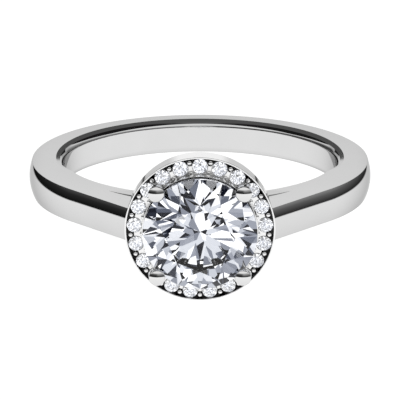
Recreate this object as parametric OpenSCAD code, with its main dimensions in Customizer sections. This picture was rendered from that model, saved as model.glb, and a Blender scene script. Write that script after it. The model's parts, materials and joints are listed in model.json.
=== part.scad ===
// Halo ring lying on its side: a round stone in four prongs, ringed by small
// stones, on a band whose shoulders rise straight to the head.
// Before the rest tilt the finger hole runs along Z and the head faces -Y.

/* [Finger hole and band] */
// Diameter of the finger hole
bore_d = 16.5; // [15:0.1:19]
// Thickness of the band from the finger hole to its outer corner edges
band_t = 1.87; // [1.6:0.01:2.2]
// Rise of the domed outer face above its corner edges
dome_rise = 0.21; // [0.12:0.01:0.3]
// Width of the band at the back
band_w_back = 2.28; // [2.1:0.01:2.8]
// Width of the band at the head
band_w_head = 1.82; // [1.6:0.01:2]
// Radius that softens both rims of the finger hole
edge_r = 0.4; // [0.3:0.01:0.5]
// Width of the sloped strip between each side face and that softened rim
strip_w = 0.35; // [0.25:0.01:0.45]
// Depth by which the sloped strip falls inwards
strip_drop = 0.05; // [0.03:0.01:0.08]

/* [Finger rail] */
// Width of the rail that closes the ring under the head
rail_w = 2.01; // [1.9:0.01:2.1]
// Thickness of the rail in the middle
rail_t = 1.12; // [0.9:0.01:1.3]
// How much smaller the rail's outer curve is than the finger hole's radius
rail_inset = 0.7; // [0.5:0.01:1]

/* [Shoulders] */
// Angle from the head at which each straight shoulder leaves the round band
arm_angle = 45; // [42:0.5:48]
// Open width between the two shoulders under the head
arm_gap = 3.8; // [3:0.1:4.4]

/* [Stones] */
// Diameter of the centre stone
center_d = 5.88; // [5.4:0.01:6.4]
// Diameter of each halo stone
melee_d = 0.78; // [0.7:0.01:0.82]
// Number of halo stones
melee_count = 21; // [18:1:21]
// Width of a stone's table, as a share of its diameter
table_share = 0.57; // [0.53:0.01:0.62]
// Slope of the crown facets in degrees
crown_angle = 34.5; // [32:0.5:36]
// Slope of the pavilion facets in degrees
pavilion_angle = 40.75; // [40:0.25:41.5]
// Thickness of a stone's girdle, as a share of its diameter
girdle_share = 0.03; // [0.02:0.005:0.04]

/* [Halo] */
// Clear height between the centre stone's point and the rail
culet_gap = 0.16; // [0.12:0.01:0.3]
// Height of the centre stone's girdle above the halo's rim
center_rise = 0.65; // [0.6:0.01:0.75]
// Depth of the halo's outer wall
halo_depth = 1.22; // [1.15:0.01:1.4]
// Thickness of the bright rim round the halo
rim_t = 0.085; // [0.07:0.005:0.12]
// Thickness of the inner rim under the centre stone
inner_rim_t = 0.11; // [0.09:0.01:0.14]
// How far the inner rim lies inside the centre stone's edge
inner_rim_inset = 0.05; // [0.03:0.01:0.08]
// Height of the inner rim above the outer one
inner_rim_rise = 0.34; // [0.28:0.01:0.38]
// Width of the ledge inside the inner rim, down to the open middle
ledge_w = 0.44; // [0.36:0.01:0.5]
// Thickness of the halo's floor
floor_t = 0.55; // [0.5:0.01:0.6]
// Depth of the halo stones' girdles below the outer rim
melee_sink = 0.15; // [0.12:0.01:0.17]
// Gap left between each stone and the metal next to it
stone_gap = 0.02; // [0.015:0.005:0.03]

/* [Beads and prongs] */
// Radius of the outer setting beads
outer_bead_r = 0.13; // [0.11:0.005:0.14]
// Radius of the inner setting beads
inner_bead_r = 0.12; // [0.1:0.005:0.13]
// Angle of each prong above and below the middle in degrees
prong_angle = 45.5; // [44:0.5:46]
// Radius of a prong's domed tip
prong_tip_r = 0.42; // [0.36:0.01:0.44]
// Distance of the tip's middle outside the centre stone's edge
prong_out = 0.21; // [0.18:0.01:0.24]
// Height of the tip's middle above the girdle
prong_up = 0.07; // [0.04:0.01:0.1]
// Radius of a prong's post
post_r = 0.22; // [0.18:0.01:0.23]
// Radius of the four legs between the halo and the rail
leg_r = 0.3; // [0.25:0.01:0.34]

/* [Hidden] */
function two_digits(i) = str(i < 10 ? "0" : "", i);
function stone_name(i) = str("halo_stone_", two_digits(i));
$fn = 96;

// Band, measured from the finger hole's axis
bore_r = bore_d / 2;
corner_r = bore_r + band_t;
half_mid = (band_w_back + band_w_head) / 4;
taper = (band_w_back - band_w_head) / (4 * corner_r);
taper_angle = atan(taper);
dome_r = (pow(half_mid, 2) + pow(dome_rise, 2)) / (2 * dome_rise);
dome_in = sqrt(pow(dome_r, 2) - pow(half_mid, 2));
dome_center = corner_r - dome_in;
// Moving the domed face this much to the back keeps its corner edges on a circle round the
// finger hole, although the side faces taper
dome_shift = taper * corner_r * half_mid / dome_in;
reach = 2 * corner_r;
slab = band_w_back;
// The band's section starts inside the finger hole, which cuts it back
section_in = 0.6 * bore_r;
// The softened rim crosses the finger hole's wall at a clear angle
edge_cross = 0.93;

// Finger rail
rail_top = bore_r + rail_t;
rail_curve_r = bore_r - rail_inset;
rail_shift = rail_top - rail_curve_r;

// Stones
center_r = center_d / 2;
melee_r = melee_d / 2;
function girdle_half(d) = girdle_share * d / 2;
function pavilion_depth(d) = d / 2 * tan(pavilion_angle);
function crown_height(d) = d / 2 * (1 - table_share) * tan(crown_angle);

// Head, as heights towards -Y from the finger hole's axis
culet_h = rail_top + culet_gap;
girdle_h = culet_h + pavilion_depth(center_d) + girdle_half(center_d);
rim_h = girdle_h - center_rise;
halo_back = rim_h - halo_depth;
floor_h = halo_back + floor_t;
inner_rim_h = rim_h + inner_rim_rise;
melee_h = rim_h - melee_sink;
inner_rim_in = center_r - inner_rim_inset;
inner_rim_out = inner_rim_in + inner_rim_t;
channel_w = melee_d + 2 * stone_gap;
melee_ring = inner_rim_out + channel_w / 2;
channel_out = inner_rim_out + channel_w;
halo_r = channel_out + rim_t;
open_r = inner_rim_in - ledge_w;
// The ledge falls more steeply than the centre stone's pavilion
ledge_slope = 1.45;
ledge_h = inner_rim_h - ledge_slope * ledge_w;
floor_mid = halo_back + floor_t / 2;
pitch = 360 / melee_count;

// Beads sink a little into the rims, and their tops are flatter than a ball
bead_sink = 0.1;
bead_top_share = 1.25;
bead_rise = 0.4 * melee_sink;
bead_h = melee_h + bead_rise;
bead_base_h = floor_h - floor_t / 4;
outer_bead_ring = channel_out - outer_bead_r * (1 - bead_sink);
inner_bead_ring = inner_rim_out + inner_bead_r * bead_sink;

// Prongs
post_inset = 0.03;
post_ring = inner_rim_out - post_inset - post_r;
// The posts end this far under the girdle, inside the tips
post_short = 0.1;
post_top = girdle_h - girdle_half(center_d) - post_short;
tip_ring = center_r + prong_out;
prong_angles = [prong_angle, 180 - prong_angle, -prong_angle, prong_angle - 180];
// The legs stand on the rail, this far inside its side faces and under its surface
leg_inset = 0.08;
leg_sink = 0.3;
// Distance between the feet along the rail, as a share of that across it
leg_spread = 1.6;
leg_top_h = halo_back + floor_t / 3;

// Angle at which the ring lies: the halo's back edge and the back of the band touch the floor
rest_tilt = atan((halo_r - band_w_back / 2) / (halo_back + corner_r));

module at_rest() rotate([-rest_tilt, 0, 0]) children();

// Stands children up on the finger hole's axis, their Z running out through the head
module head_frame() rotate([90, 0, 0]) children();

// Round rod between two points
module rod(from, to, r) {
  d = to - from;
  translate(from) rotate([0, acos(d[2] / norm(d)), atan2(d[1], d[0])]) cylinder(h = norm(d), r = r);
}

// Section of the band across its width: domed outside, far enough inside to be bored
module band_section() {
  intersection() {
    union() {
      translate([dome_center, 0]) circle(r = dome_r);
      translate([dome_center - dome_r, -slab]) square([dome_r, 2 * slab]);
    }
    translate([section_in, -slab]) square([reach, 2 * slab]);
  }
}

// Space between the two tapering side planes
module side_planes() {
  y0 = reach;
  near = half_mid - taper * y0;
  far = half_mid + taper * y0;
  rotate([90, 0, 90]) linear_extrude(height = 2 * reach, center = true)
    polygon([[-y0, -near], [y0, -far], [y0, far], [-y0, near]]);
}

// Round part of the band, open at the front between the shoulders
module band_arc() {
  s = reach * sin(arm_angle);
  c = reach * cos(arm_angle);
  translate([0, dome_shift, 0]) difference() {
    rotate_extrude() band_section();
    linear_extrude(height = 3 * slab, center = true) polygon([[0, 0], [2 * s, -2 * c], [-2 * s, -2 * c]]);
  }
}

// One straight shoulder, from the round part of the band into the halo
module shoulder() {
  difference() {
    translate([0, dome_shift, 0]) rotate([0, 0, arm_angle - 90]) rotate([90, 0, 0])
      linear_extrude(height = reach / 2) band_section();
    translate([-reach + arm_gap / 2, -reach, -reach]) cube([reach, 2 * reach, 2 * reach]);
    head_frame() translate([0, 0, floor_mid]) cylinder(r = halo_r - rim_t / 2, h = reach);
    head_frame() translate([-reach, -reach, rim_h - rim_t]) cube(2 * reach);
  }
}

// What is cut from one rim of the finger hole, below a side face at height 0
module rim_cut() {
  edge_x = bore_r + edge_r * edge_cross;
  edge_z = -strip_drop - edge_r;
  clear = edge_r + strip_w;
  rotate_extrude() difference() {
    polygon([
      [bore_r - clear, edge_z], [edge_x, edge_z], [edge_x, -strip_drop],
      [edge_x + strip_w, 0], [edge_x + strip_w, clear], [bore_r - clear, clear]
    ]);
    translate([edge_x, edge_z]) circle(r = edge_r);
  }
}

module both_sides() {
  children();
  mirror([0, 0, 1]) children();
}

module band() {
  difference() {
    intersection() {
      union() {
        band_arc();
        shoulder();
        mirror([1, 0, 0]) shoulder();
      }
      side_planes();
    }
    both_sides() rotate([taper_angle, 0, 0]) translate([0, 0, half_mid * cos(taper_angle)]) rim_cut();
  }
}

// Crescent under the head whose side faces stay parallel, up to the finger hole's edge
module rail() {
  translate([0, -rail_shift, 0]) cylinder(r = rail_curve_r, h = rail_w, center = true);
}

// Floor, thin outer rim and taller inner rim of the halo
module halo_cup() {
  rotate_extrude() polygon([
    [open_r, halo_back], [halo_r, halo_back], [halo_r, rim_h], [channel_out, rim_h],
    [channel_out, floor_h], [inner_rim_out, floor_h], [inner_rim_out, inner_rim_h],
    [inner_rim_in, inner_rim_h], [open_r, ledge_h]
  ]);
}

// Bead that holds two halo stones, standing on the halo's floor
module bead(ring, angle, r) {
  top_r = r * bead_top_share;
  h = bead_h - bead_base_h;
  rotate([0, 0, angle]) translate([ring, 0, bead_base_h]) rotate_extrude() intersection() {
    square([r, h]);
    union() {
      translate([0, h - top_r]) circle(r = top_r);
      square([top_r, h - top_r]);
    }
  }
}

module beads() {
  for (i = [0:melee_count - 1]) {
    angle = 90 - (i + 0.5) * pitch;
    bead(outer_bead_ring, angle, outer_bead_r);
    bead(inner_bead_ring, angle, inner_bead_r);
  }
}

// Room for the centre stone, with its gap all round
module stone_room() {
  g = girdle_half(center_d) + stone_gap;
  r = center_r + stone_gap;
  table_r = center_r * table_share + stone_gap;
  rotate_extrude() polygon([
    [0, girdle_h - g - r * tan(pavilion_angle)], [r, girdle_h - g], [r, girdle_h + g],
    [table_r, girdle_h + g + (r - table_r) * tan(crown_angle)],
    [0, girdle_h + g + (r - table_r) * tan(crown_angle)]
  ]);
}

// Post with a domed tip, notched for the centre stone
module prong(angle) {
  difference() {
    rotate([0, 0, angle]) {
      translate([post_ring, 0, floor_mid]) cylinder(r = post_r, h = post_top - floor_mid);
      translate([tip_ring, 0, girdle_h + prong_up]) sphere(r = prong_tip_r);
    }
    stone_room();
  }
}

// Leg from the halo's floor under a prong down into the rail
module leg(angle) {
  foot_z = rail_w / 2 - leg_inset - leg_r;
  foot_x = leg_spread * foot_z;
  top = [post_ring * cos(angle), post_ring * sin(angle), leg_top_h];
  foot = [foot_x * sign(cos(angle)), foot_z * sign(sin(angle)), rail_top - leg_sink];
  rod(foot, top, leg_r);
}

module mounting() {
  color("gainsboro") at_rest() difference() {
    union() {
      band();
      rail();
      head_frame() {
        halo_cup();
        beads();
        for (angle = prong_angles) {
          prong(angle);
          leg(angle);
        }
      }
    }
    cylinder(r = bore_r, h = 2 * slab, center = true);
  }
}

// Round brilliant cut with its girdle's middle at height 0. Going round, k counts the 16
// corners of the girdle: even ones lie at the main facets, odd ones between them.
function around(r, k, h) = [r * cos(k * 22.5), r * sin(k * 22.5), h];
star_share = 0.5;
// Keeps the points of the star facets inside the crown
star_in = 0.97;
lower_share = 0.24;

module brilliant(d) {
  r = d / 2;
  g = girdle_half(d);
  table_r = r * table_share;
  top = g + crown_height(d);
  star_r = (table_r + (r - table_r) * star_share) / cos(22.5) * star_in;
  star_h = top - (star_r * cos(22.5) - table_r) * tan(crown_angle);
  low_r = r * lower_share;
  low_h = -g - (r - low_r * cos(22.5)) * tan(pavilion_angle);
  points = concat(
    [for (i = [0:7]) around(table_r, 2 * i, top)],
    [for (i = [0:7]) around(star_r, 2 * i + 1, star_h)],
    [for (k = [0:15]) around(r, k, g)],
    [for (k = [0:15]) around(r, k, -g)],
    [for (i = [0:7]) around(low_r, 2 * i + 1, low_h)],
    [[0, 0, -g - pavilion_depth(d)]]
  );
  table = 0;
  star = 8;
  upper = 16;
  lower = 32;
  low = 48;
  culet = 56;
  faces = concat(
    [[for (i = [7:-1:0]) table + i]],
    [for (i = [0:7]) [table + i, table + (i + 1) % 8, star + i]],
    [for (i = [0:7]) [table + i, star + i, upper + 2 * i, star + (i + 7) % 8]],
    [for (i = [0:7]) [star + i, upper + 2 * i + 1, upper + 2 * i]],
    [for (i = [0:7]) [star + i, upper + (2 * i + 2) % 16, upper + 2 * i + 1]],
    [for (k = [0:15]) [upper + k, upper + (k + 1) % 16, lower + (k + 1) % 16, lower + k]],
    [for (i = [0:7]) [low + i, lower + 2 * i, lower + 2 * i + 1]],
    [for (i = [0:7]) [low + i, lower + 2 * i + 1, lower + (2 * i + 2) % 16]],
    [for (i = [0:7]) [lower + 2 * i, low + i, culet, low + (i + 7) % 8]]
  );
  polyhedron(points = points, faces = faces);
}

module center_stone() {
  color("aliceblue") at_rest() head_frame() translate([0, 0, girdle_h]) brilliant(center_d);
}

module halo_stone(i) {
  color("lightcyan") at_rest() head_frame() rotate([0, 0, 90 - (i - 1) * pitch])
    translate([melee_ring, 0, melee_h]) brilliant(melee_d);
}

mounting();
center_stone();
for (i = [1:melee_count])
  halo_stone(i);
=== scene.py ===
"""Dresses the halo ring: polished white gold, a round brilliant and a halo of small ones.

Every piece is built in millimetres in the ring's own upright frame, where the finger hole runs
along Z and the head faces -Y, and is then laid down and scaled to metres as the frame lies.
"""
import json
import logging
import math
from collections.abc import Callable, Mapping, Sequence
from dataclasses import dataclass
from enum import Enum

import bmesh
import bpy
from bpy.types import Material, Mesh, Node, NodeSocket
from mathutils import Matrix, Vector


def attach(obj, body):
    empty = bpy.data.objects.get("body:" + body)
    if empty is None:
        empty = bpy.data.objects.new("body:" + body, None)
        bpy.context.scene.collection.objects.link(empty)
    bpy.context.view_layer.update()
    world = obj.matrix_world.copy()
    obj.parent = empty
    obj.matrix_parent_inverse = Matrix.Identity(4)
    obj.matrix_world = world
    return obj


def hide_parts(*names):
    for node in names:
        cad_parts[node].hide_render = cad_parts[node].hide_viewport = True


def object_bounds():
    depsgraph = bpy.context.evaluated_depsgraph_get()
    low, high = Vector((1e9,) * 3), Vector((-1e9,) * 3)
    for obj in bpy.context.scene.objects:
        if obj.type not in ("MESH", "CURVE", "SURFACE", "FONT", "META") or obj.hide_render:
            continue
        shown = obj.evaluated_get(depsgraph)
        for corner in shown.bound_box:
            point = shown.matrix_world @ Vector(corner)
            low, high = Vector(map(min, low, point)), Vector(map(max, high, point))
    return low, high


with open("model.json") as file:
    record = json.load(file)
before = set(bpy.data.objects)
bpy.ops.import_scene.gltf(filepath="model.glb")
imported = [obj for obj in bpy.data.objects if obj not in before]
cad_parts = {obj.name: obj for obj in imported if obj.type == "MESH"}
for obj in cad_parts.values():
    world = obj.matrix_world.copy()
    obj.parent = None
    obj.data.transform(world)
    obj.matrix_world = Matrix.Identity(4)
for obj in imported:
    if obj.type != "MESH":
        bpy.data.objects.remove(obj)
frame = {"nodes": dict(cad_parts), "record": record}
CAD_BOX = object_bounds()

LOG = logging.getLogger("halo_ring")
MM = 0.001
FULL_TURN = 2 * math.pi
BODY = "root"
MOUNTING = "mounting"
CENTER_STONE = "center_stone"
HALO_STONES = sorted(name for name in frame["nodes"] if name.startswith("halo_stone_"))
PHOTO_SIDE = 400
WHITE = (1.0, 1.0, 1.0, 1.0)
LEAST_DIVISOR = 0.01

Span = tuple[float, float]
Triple = tuple[float, float, float]


class Slot(Enum):
    """Material slots of the record."""

    METAL = "white_gold"
    STONE = "diamond"


class Shade(Enum):
    """How a mesh's faces are shaded."""

    FACETED = "faceted"
    SMOOTH = "smooth"


@dataclass(frozen=True)
class RingFrame:
    """Where the ring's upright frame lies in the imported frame.

    Attributes:
        tilt: Angle in radians by which the finger hole's axis leans to the back.
        bore_r: Radius of the finger hole in mm.
    """

    tilt: float
    bore_r: float

    @classmethod
    def from_record(cls, record: Mapping) -> "RingFrame":
        """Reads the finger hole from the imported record.

        Args:
            record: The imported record.

        Returns:
            The ring's frame.
        """
        bore = record["mounts"][0]
        axis = Vector(bore["axis"])
        return cls(math.atan2(axis.y, axis.z), bore["dims"]["r_mm"])

    def turn(self) -> Matrix:
        """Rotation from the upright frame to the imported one."""
        return Matrix.Rotation(-self.tilt, 4, "X")

    def upright(self) -> Matrix:
        """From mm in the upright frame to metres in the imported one."""
        return self.turn() @ Matrix.Scale(MM, 4)

    def head(self) -> Matrix:
        """The same for shapes whose Z runs out through the head."""
        return self.upright() @ Matrix.Rotation(math.pi / 2, 4, "X")


def sum_of(operation: str) -> Callable[..., "Value"]:
    """Makes a method that adds a Math node.

    Args:
        operation: What the node does with the value and any others.

    Returns:
        The method.
    """
    def method(value: "Value", *others: object) -> "Value":
        """Adds the node and returns its result."""
        return value.nodes.math(operation, value, *others)
    return method


class Value:
    """Something that a node tree works out; numbers are written in sums like any other."""

    def __init__(self, nodes: "NodeTree", socket: NodeSocket) -> None:
        """Wraps an output socket of a tree."""
        self.nodes, self.socket = nodes, socket

    __add__, __sub__, __mul__, __truediv__ = map(sum_of, ("ADD", "SUBTRACT", "MULTIPLY", "DIVIDE"))
    sin, cos, size, sign, rounded = map(sum_of, ("SINE", "COSINE", "ABSOLUTE", "SIGN", "ROUND"))
    at_least, at_most, above = map(sum_of, ("MAXIMUM", "MINIMUM", "GREATER_THAN"))

    def __rsub__(self, other: object) -> "Value":
        """Is taken away from a number."""
        return self.nodes.math("SUBTRACT", other, self)

    def root(self) -> "Value":
        """Square root, of nothing less than zero."""
        return self.nodes.math("SQRT", self.at_least(0.0))

    def pick(self, zero: "Value", one: "Value") -> "Value":
        """Goes from one value to another as this goes from 0 to 1."""
        return zero + (one - zero) * self


class NodeTree:
    """Short calls for building a node tree."""

    def __init__(self, tree: bpy.types.NodeTree) -> None:
        """Wraps the tree to add to."""
        self.tree = tree

    def add(self, kind: str, inputs: Mapping | None = None, **settings: object) -> Node:
        """Adds a node.

        Args:
            kind: The node's type name.
            inputs: Numbers, colours or values by input name or number.
            **settings: The node's own properties.

        Returns:
            The new node.
        """
        node = self.tree.nodes.new(kind)
        for name, value in settings.items():
            setattr(node, name, value)
        for name, value in (inputs or {}).items():
            if isinstance(value, Value):
                self.tree.links.new(value.socket, node.inputs[name])
            else:
                node.inputs[name].default_value = value
        return node

    def out(self, kind: str, inputs: Mapping | None = None, output: str | int = 0,
            **settings: object) -> Value:
        """Adds a node and returns one of its outputs."""
        return Value(self, self.add(kind, inputs, **settings).outputs[output])

    def math(self, operation: str, *values: object) -> Value:
        """Adds a Math node and returns its result."""
        return self.out("ShaderNodeMath", dict(enumerate(values)), operation=operation)

    def vector(self, x: object, y: object, z: object) -> Value:
        """Puts three numbers or values into a vector."""
        return self.out("ShaderNodeCombineXYZ", {"X": x, "Y": y, "Z": z})

    def axes(self, vector: Value) -> tuple[Value, Value, Value]:
        """Takes a vector apart."""
        parts = self.add("ShaderNodeSeparateXYZ", {"Vector": vector}).outputs
        return Value(self, parts["X"]), Value(self, parts["Y"]), Value(self, parts["Z"])

    def span(self, source: Value, low: float, high: float) -> Value:
        """Maps 0 to 1 onto a span."""
        return self.out("ShaderNodeMapRange", {"Value": source, "To Min": low, "To Max": high})

    def rise(self, source: Value, low: object, high: object) -> Value:
        """Goes smoothly from 0 to 1 over a span of the source."""
        inputs = {"Value": source, "From Min": low, "From Max": high}
        return self.out("ShaderNodeMapRange", inputs, interpolation_type="SMOOTHSTEP")

    def noise(self, place: Value, scale: float) -> Value:
        """Adds soft noise from 0 to 1 over a place."""
        return self.out("ShaderNodeTexNoise", {"Vector": place, "Scale": scale}, "Fac")

    def toned(self, tint: Sequence[float], tone: Value) -> Value:
        """Multiplies a colour by a varying tone."""
        names = ("Red", "Green", "Blue")
        return self.out("ShaderNodeCombineColor", {n: tone * c for n, c in zip(names, tint)})

    def blend(self, share: Value, first: object, second: object) -> Value:
        """Mixes two colours, by the share of the second."""
        return self.out("ShaderNodeMix", {0: share, 6: first, 7: second}, 2, data_type="RGBA")

    def ramp(self, factor: Value, stops: Sequence[tuple[float, Sequence[float]]]) -> Value:
        """Adds a colour ramp.

        Args:
            factor: What drives it, from 0 to 1.
            stops: Pairs of place and colour.

        Returns:
            The ramp's colour.
        """
        node = self.add("ShaderNodeValToRGB", {"Fac": factor})
        elements = node.color_ramp.elements
        while len(elements) < len(stops):
            elements.new(1.0)
        for element, (place, colour) in zip(elements, stops):
            element.position = place
            element.color = (*colour, 1.0)
        return Value(self, node.outputs["Color"])

    def geometry(self, shape: Value) -> Value:
        """Reads the geometry of an object."""
        return self.out("GeometryNodeObjectInfo", {"Object": shape}, "Geometry")

    def row(self, shape: Value) -> tuple[Value, Value]:
        """Reads a row of points and their number."""
        points = self.geometry(shape)
        return points, self.out("GeometryNodeAttributeDomainSize", {"Geometry": points}, "Point Count")

    def sample(self, points: Value, index: Value) -> tuple[Value, Value, Value]:
        """Reads the coordinates of one point of a row."""
        inputs = {"Geometry": points, "Value": self.out("GeometryNodeInputPosition"), "Index": index}
        return self.axes(self.out("GeometryNodeSampleIndex", inputs, "Value", data_type="FLOAT_VECTOR"))

    def sheet(self, along: Value, across: Value) -> tuple[Value, Value, Value]:
        """Adds a sheet to be bent into a shape.

        Args:
            along: Number of points along it.
            across: Number of points across it.

        Returns:
            The sheet, and each point's number along and across.
        """
        size = {"Size X": 1.0, "Size Y": 1.0, "Vertices X": along, "Vertices Y": across}
        made = self.out("GeometryNodeMeshGrid", size, "Mesh")
        x, y, _ = self.axes(self.out("GeometryNodeInputPosition"))
        return made, ((x + 0.5) * (along - 1)).rounded(), ((y + 0.5) * (across - 1)).rounded()

    def bend(self, sheet: Value, x: Value, y: Value, z: Value) -> Value:
        """Moves each point of a sheet to a place."""
        return self.out("GeometryNodeSetPosition", {"Geometry": sheet, "Position": self.vector(x, y, z)})


@dataclass(frozen=True)
class Finish:
    """A finish with a soft variation over the piece.

    Attributes:
        name: The material's name.
    """

    name: str

    def look(self, nt: NodeTree, place: Value) -> dict[str, object]:
        """Lists the shader's inputs.

        Args:
            nt: The material's tree.
            place: Place on the piece.

        Returns:
            Numbers, colours and values by input name.
        """
        raise NotImplementedError

    def material(self) -> Material:
        """Builds the material.

        Returns:
            The material.
        """
        made = bpy.data.materials.new(self.name)
        made.use_nodes = True
        made.node_tree.nodes.clear()
        nt = NodeTree(made.node_tree)
        look = self.look(nt, nt.out("ShaderNodeTexCoord", output="Object"))
        nt.add("ShaderNodeOutputMaterial", {"Surface": nt.out("ShaderNodeBsdfPrincipled", look)})
        return made


@dataclass(frozen=True)
class PolishedGold(Finish):
    """White gold with a high polish and faint polishing marks.

    Attributes:
        grey: Base brightness.
        tone: Span over which it varies.
        edge: Brightness towards the silhouette.
        roughness: Roughness of the polish.
        uneven: Share by which the roughness varies.
        marks: Depth of the polishing marks in metres.
        cloud: Size of the soft variation, per metre.
        grain: Size of the polishing marks, per metre.
    """

    grey: float = 0.72
    tone: Span = (0.97, 1.03)
    edge: float = 0.6
    roughness: float = 0.05
    uneven: float = 0.3
    marks: float = 1.5e-7
    cloud: float = 420.0
    grain: float = 5200.0

    def look(self, nt: NodeTree, place: Value) -> dict[str, object]:
        """Lists the shader's inputs.

        Args:
            nt: The material's tree.
            place: Place on the piece.

        Returns:
            Numbers, colours and values by input name.
        """
        cloud = nt.noise(place, self.cloud)
        marks = {"Height": nt.noise(place, self.grain), "Distance": self.marks}
        smoothest, roughest = self.roughness * (1 - self.uneven), self.roughness * (1 + self.uneven)
        return {
            "Base Color": nt.toned((self.grey,) * 3, nt.span(cloud, *self.tone)),
            "Metallic": 1.0,
            "Roughness": nt.span(cloud, smoothest, roughest),
            "Specular Tint": (self.edge, self.edge, self.edge, 1.0),
            "Normal": nt.out("ShaderNodeBump", marks),
        }


@dataclass(frozen=True)
class ClearDiamond(Finish):
    """Colourless diamond with a faint cool tint.

    Attributes:
        tint: Colour of the light that passes.
        tone: Span over which it varies.
        ior: Index of refraction.
        shine: Share of its mirroring that an outer face keeps when seen straight on.
        glow: Painted glow, a faint light that stands in for the sparkle that fills a stone of a millimetre.
        cloud: Size of the faint inner haze, per metre.
    """

    tint: Triple = (0.97, 0.98, 1.0)
    tone: Span = (0.985, 1.0)
    ior: float = 2.417
    shine: float = 0.2
    glow: float = 0.0
    cloud: float = 900.0

    def look(self, nt: NodeTree, place: Value) -> dict[str, object]:
        """Lists the shader's inputs.

        Args:
            nt: The material's tree.
            place: Place on the piece.

        Returns:
            Numbers, colours and values by input name.
        """
        return {
            "Base Color": nt.toned(self.tint, nt.span(nt.noise(place, self.cloud), *self.tone)),
            "Roughness": 0.0,
            "IOR": self.ior,
            "Transmission Weight": 1.0,
            "Emission Color": WHITE,
            # Emission is painted glow, not a lamp.
            "Emission Strength": self.glow,
            "Specular Tint": (self.shine, self.shine, self.shine, 1.0),
        }


@dataclass(frozen=True)
class WhitePaper(Finish):
    """Paper of the studio floor, a little brighter than the light on it.

    Attributes:
        name: The material's name.
        albedo: Share of the light that it sends back.
        tone: Span over which that varies.
        glow: Light that it adds.
        grain: Size of its grain, per metre.
    """

    name: str = "white_paper"
    albedo: float = 0.5
    tone: Span = (0.99, 1.0)
    glow: float = 0.93
    grain: float = 3000.0

    def look(self, nt: NodeTree, place: Value) -> dict[str, object]:
        """Lists the shader's inputs.

        Args:
            nt: The material's tree.
            place: Place on the piece.

        Returns:
            Numbers, colours and values by input name.
        """
        return {
            "Base Color": nt.toned((self.albedo,) * 3, nt.span(nt.noise(place, self.grain), *self.tone)),
            "Roughness": 1.0,
            "Specular IOR Level": 0.0,
            "Emission Color": WHITE,
            "Emission Strength": self.glow,
        }


def finished(mesh: Mesh, shade: Shade, crease: float = 30.0, merge: float = 2e-5) -> Mesh:
    """Closes a mesh's seams, turns its faces outwards and shades it.

    Args:
        mesh: The mesh, in mm.
        shade: Whether its faces are shaded flat or smooth.
        crease: Angle in degrees past which an edge of a smooth mesh stays sharp.
        merge: Distance in mm under which corners are one.

    Returns:
        The same mesh.
    """
    bm = bmesh.new()
    bm.from_mesh(mesh)
    bmesh.ops.remove_doubles(bm, verts=bm.verts, dist=merge)
    bmesh.ops.dissolve_degenerate(bm, edges=bm.edges, dist=merge)
    bmesh.ops.recalc_face_normals(bm, faces=bm.faces)
    bm.to_mesh(mesh)
    bm.free()
    if shade is Shade.SMOOTH:
        mesh.shade_smooth()
        mesh.set_sharp_from_angle(angle=math.radians(crease))
    return mesh


def plain_mesh(name: str, points: Sequence[Sequence[float]], edges: Sequence = (),
               faces: Sequence = ()) -> Mesh:
    """Makes a mesh.

    Args:
        name: The mesh's name.
        points: Places of its corners.
        edges: Edges that belong to no face, as pairs of corners.
        faces: Faces, as rows of corners.

    Returns:
        The mesh.
    """
    mesh = bpy.data.meshes.new(name)
    mesh.from_pydata([tuple(p) for p in points], list(edges), list(faces))
    return mesh


class Tree:
    """A Geometry Nodes tree that makes one kind of shape from named inputs."""

    NAME = ""
    INPUTS: Mapping[str, Sequence[str]] = {}

    def __init__(self) -> None:
        """Makes the tree's inputs and output and wires its shape."""
        self.tree = bpy.data.node_groups.new(self.NAME, "GeometryNodeTree")
        self.tree.is_modifier = True
        face = self.tree.interface
        self.sockets = {
            name: face.new_socket(name=name, in_out="INPUT", socket_type="NodeSocket" + kind)
            for kind, names in {**self.INPUTS, "Material": ("Finish",)}.items() for name in names
        }
        face.new_socket(name="Geometry", in_out="OUTPUT", socket_type="NodeSocketGeometry")
        self.nt = NodeTree(self.tree)
        given = self.nt.add("NodeGroupInput").outputs
        self.given = {name: Value(self.nt, given[name]) for name in self.sockets}
        solid = self.nt.out("GeometryNodeRealizeInstances", {"Geometry": self.shape()})
        dressed = {"Geometry": solid, "Material": self.given["Finish"]}
        self.nt.add("NodeGroupOutput", {"Geometry": self.nt.out("GeometryNodeSetMaterial", dressed)})

    def shape(self) -> Value:
        """Wires the shape."""
        raise NotImplementedError

    def mesh(self, name: str, **values: object) -> Mesh:
        """Runs the tree once.

        Args:
            name: The name of the mesh.
            **values: The tree's inputs, in small letters; a mesh is given as a shape.

        Returns:
            The shape as a plain mesh.
        """
        carrier = bpy.data.objects.new("carrier", bpy.data.meshes.new("carrier"))
        bpy.context.scene.collection.objects.link(carrier)
        modifier = carrier.modifiers.new(self.NAME, "NODES")
        modifier.node_group = self.tree
        patterns = []
        for label, value in values.items():
            if isinstance(value, Mesh):
                value = bpy.data.objects.new(value.name, value)
                patterns.append(value)
            modifier[self.sockets[label.replace("_", " ").title()].identifier] = value
        made = bpy.data.meshes.new_from_object(carrier.evaluated_get(bpy.context.evaluated_depsgraph_get()))
        made.name = name
        carrier.modifiers.clear()
        for used in (carrier, *patterns):
            bpy.data.objects.remove(used)
        return made


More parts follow.
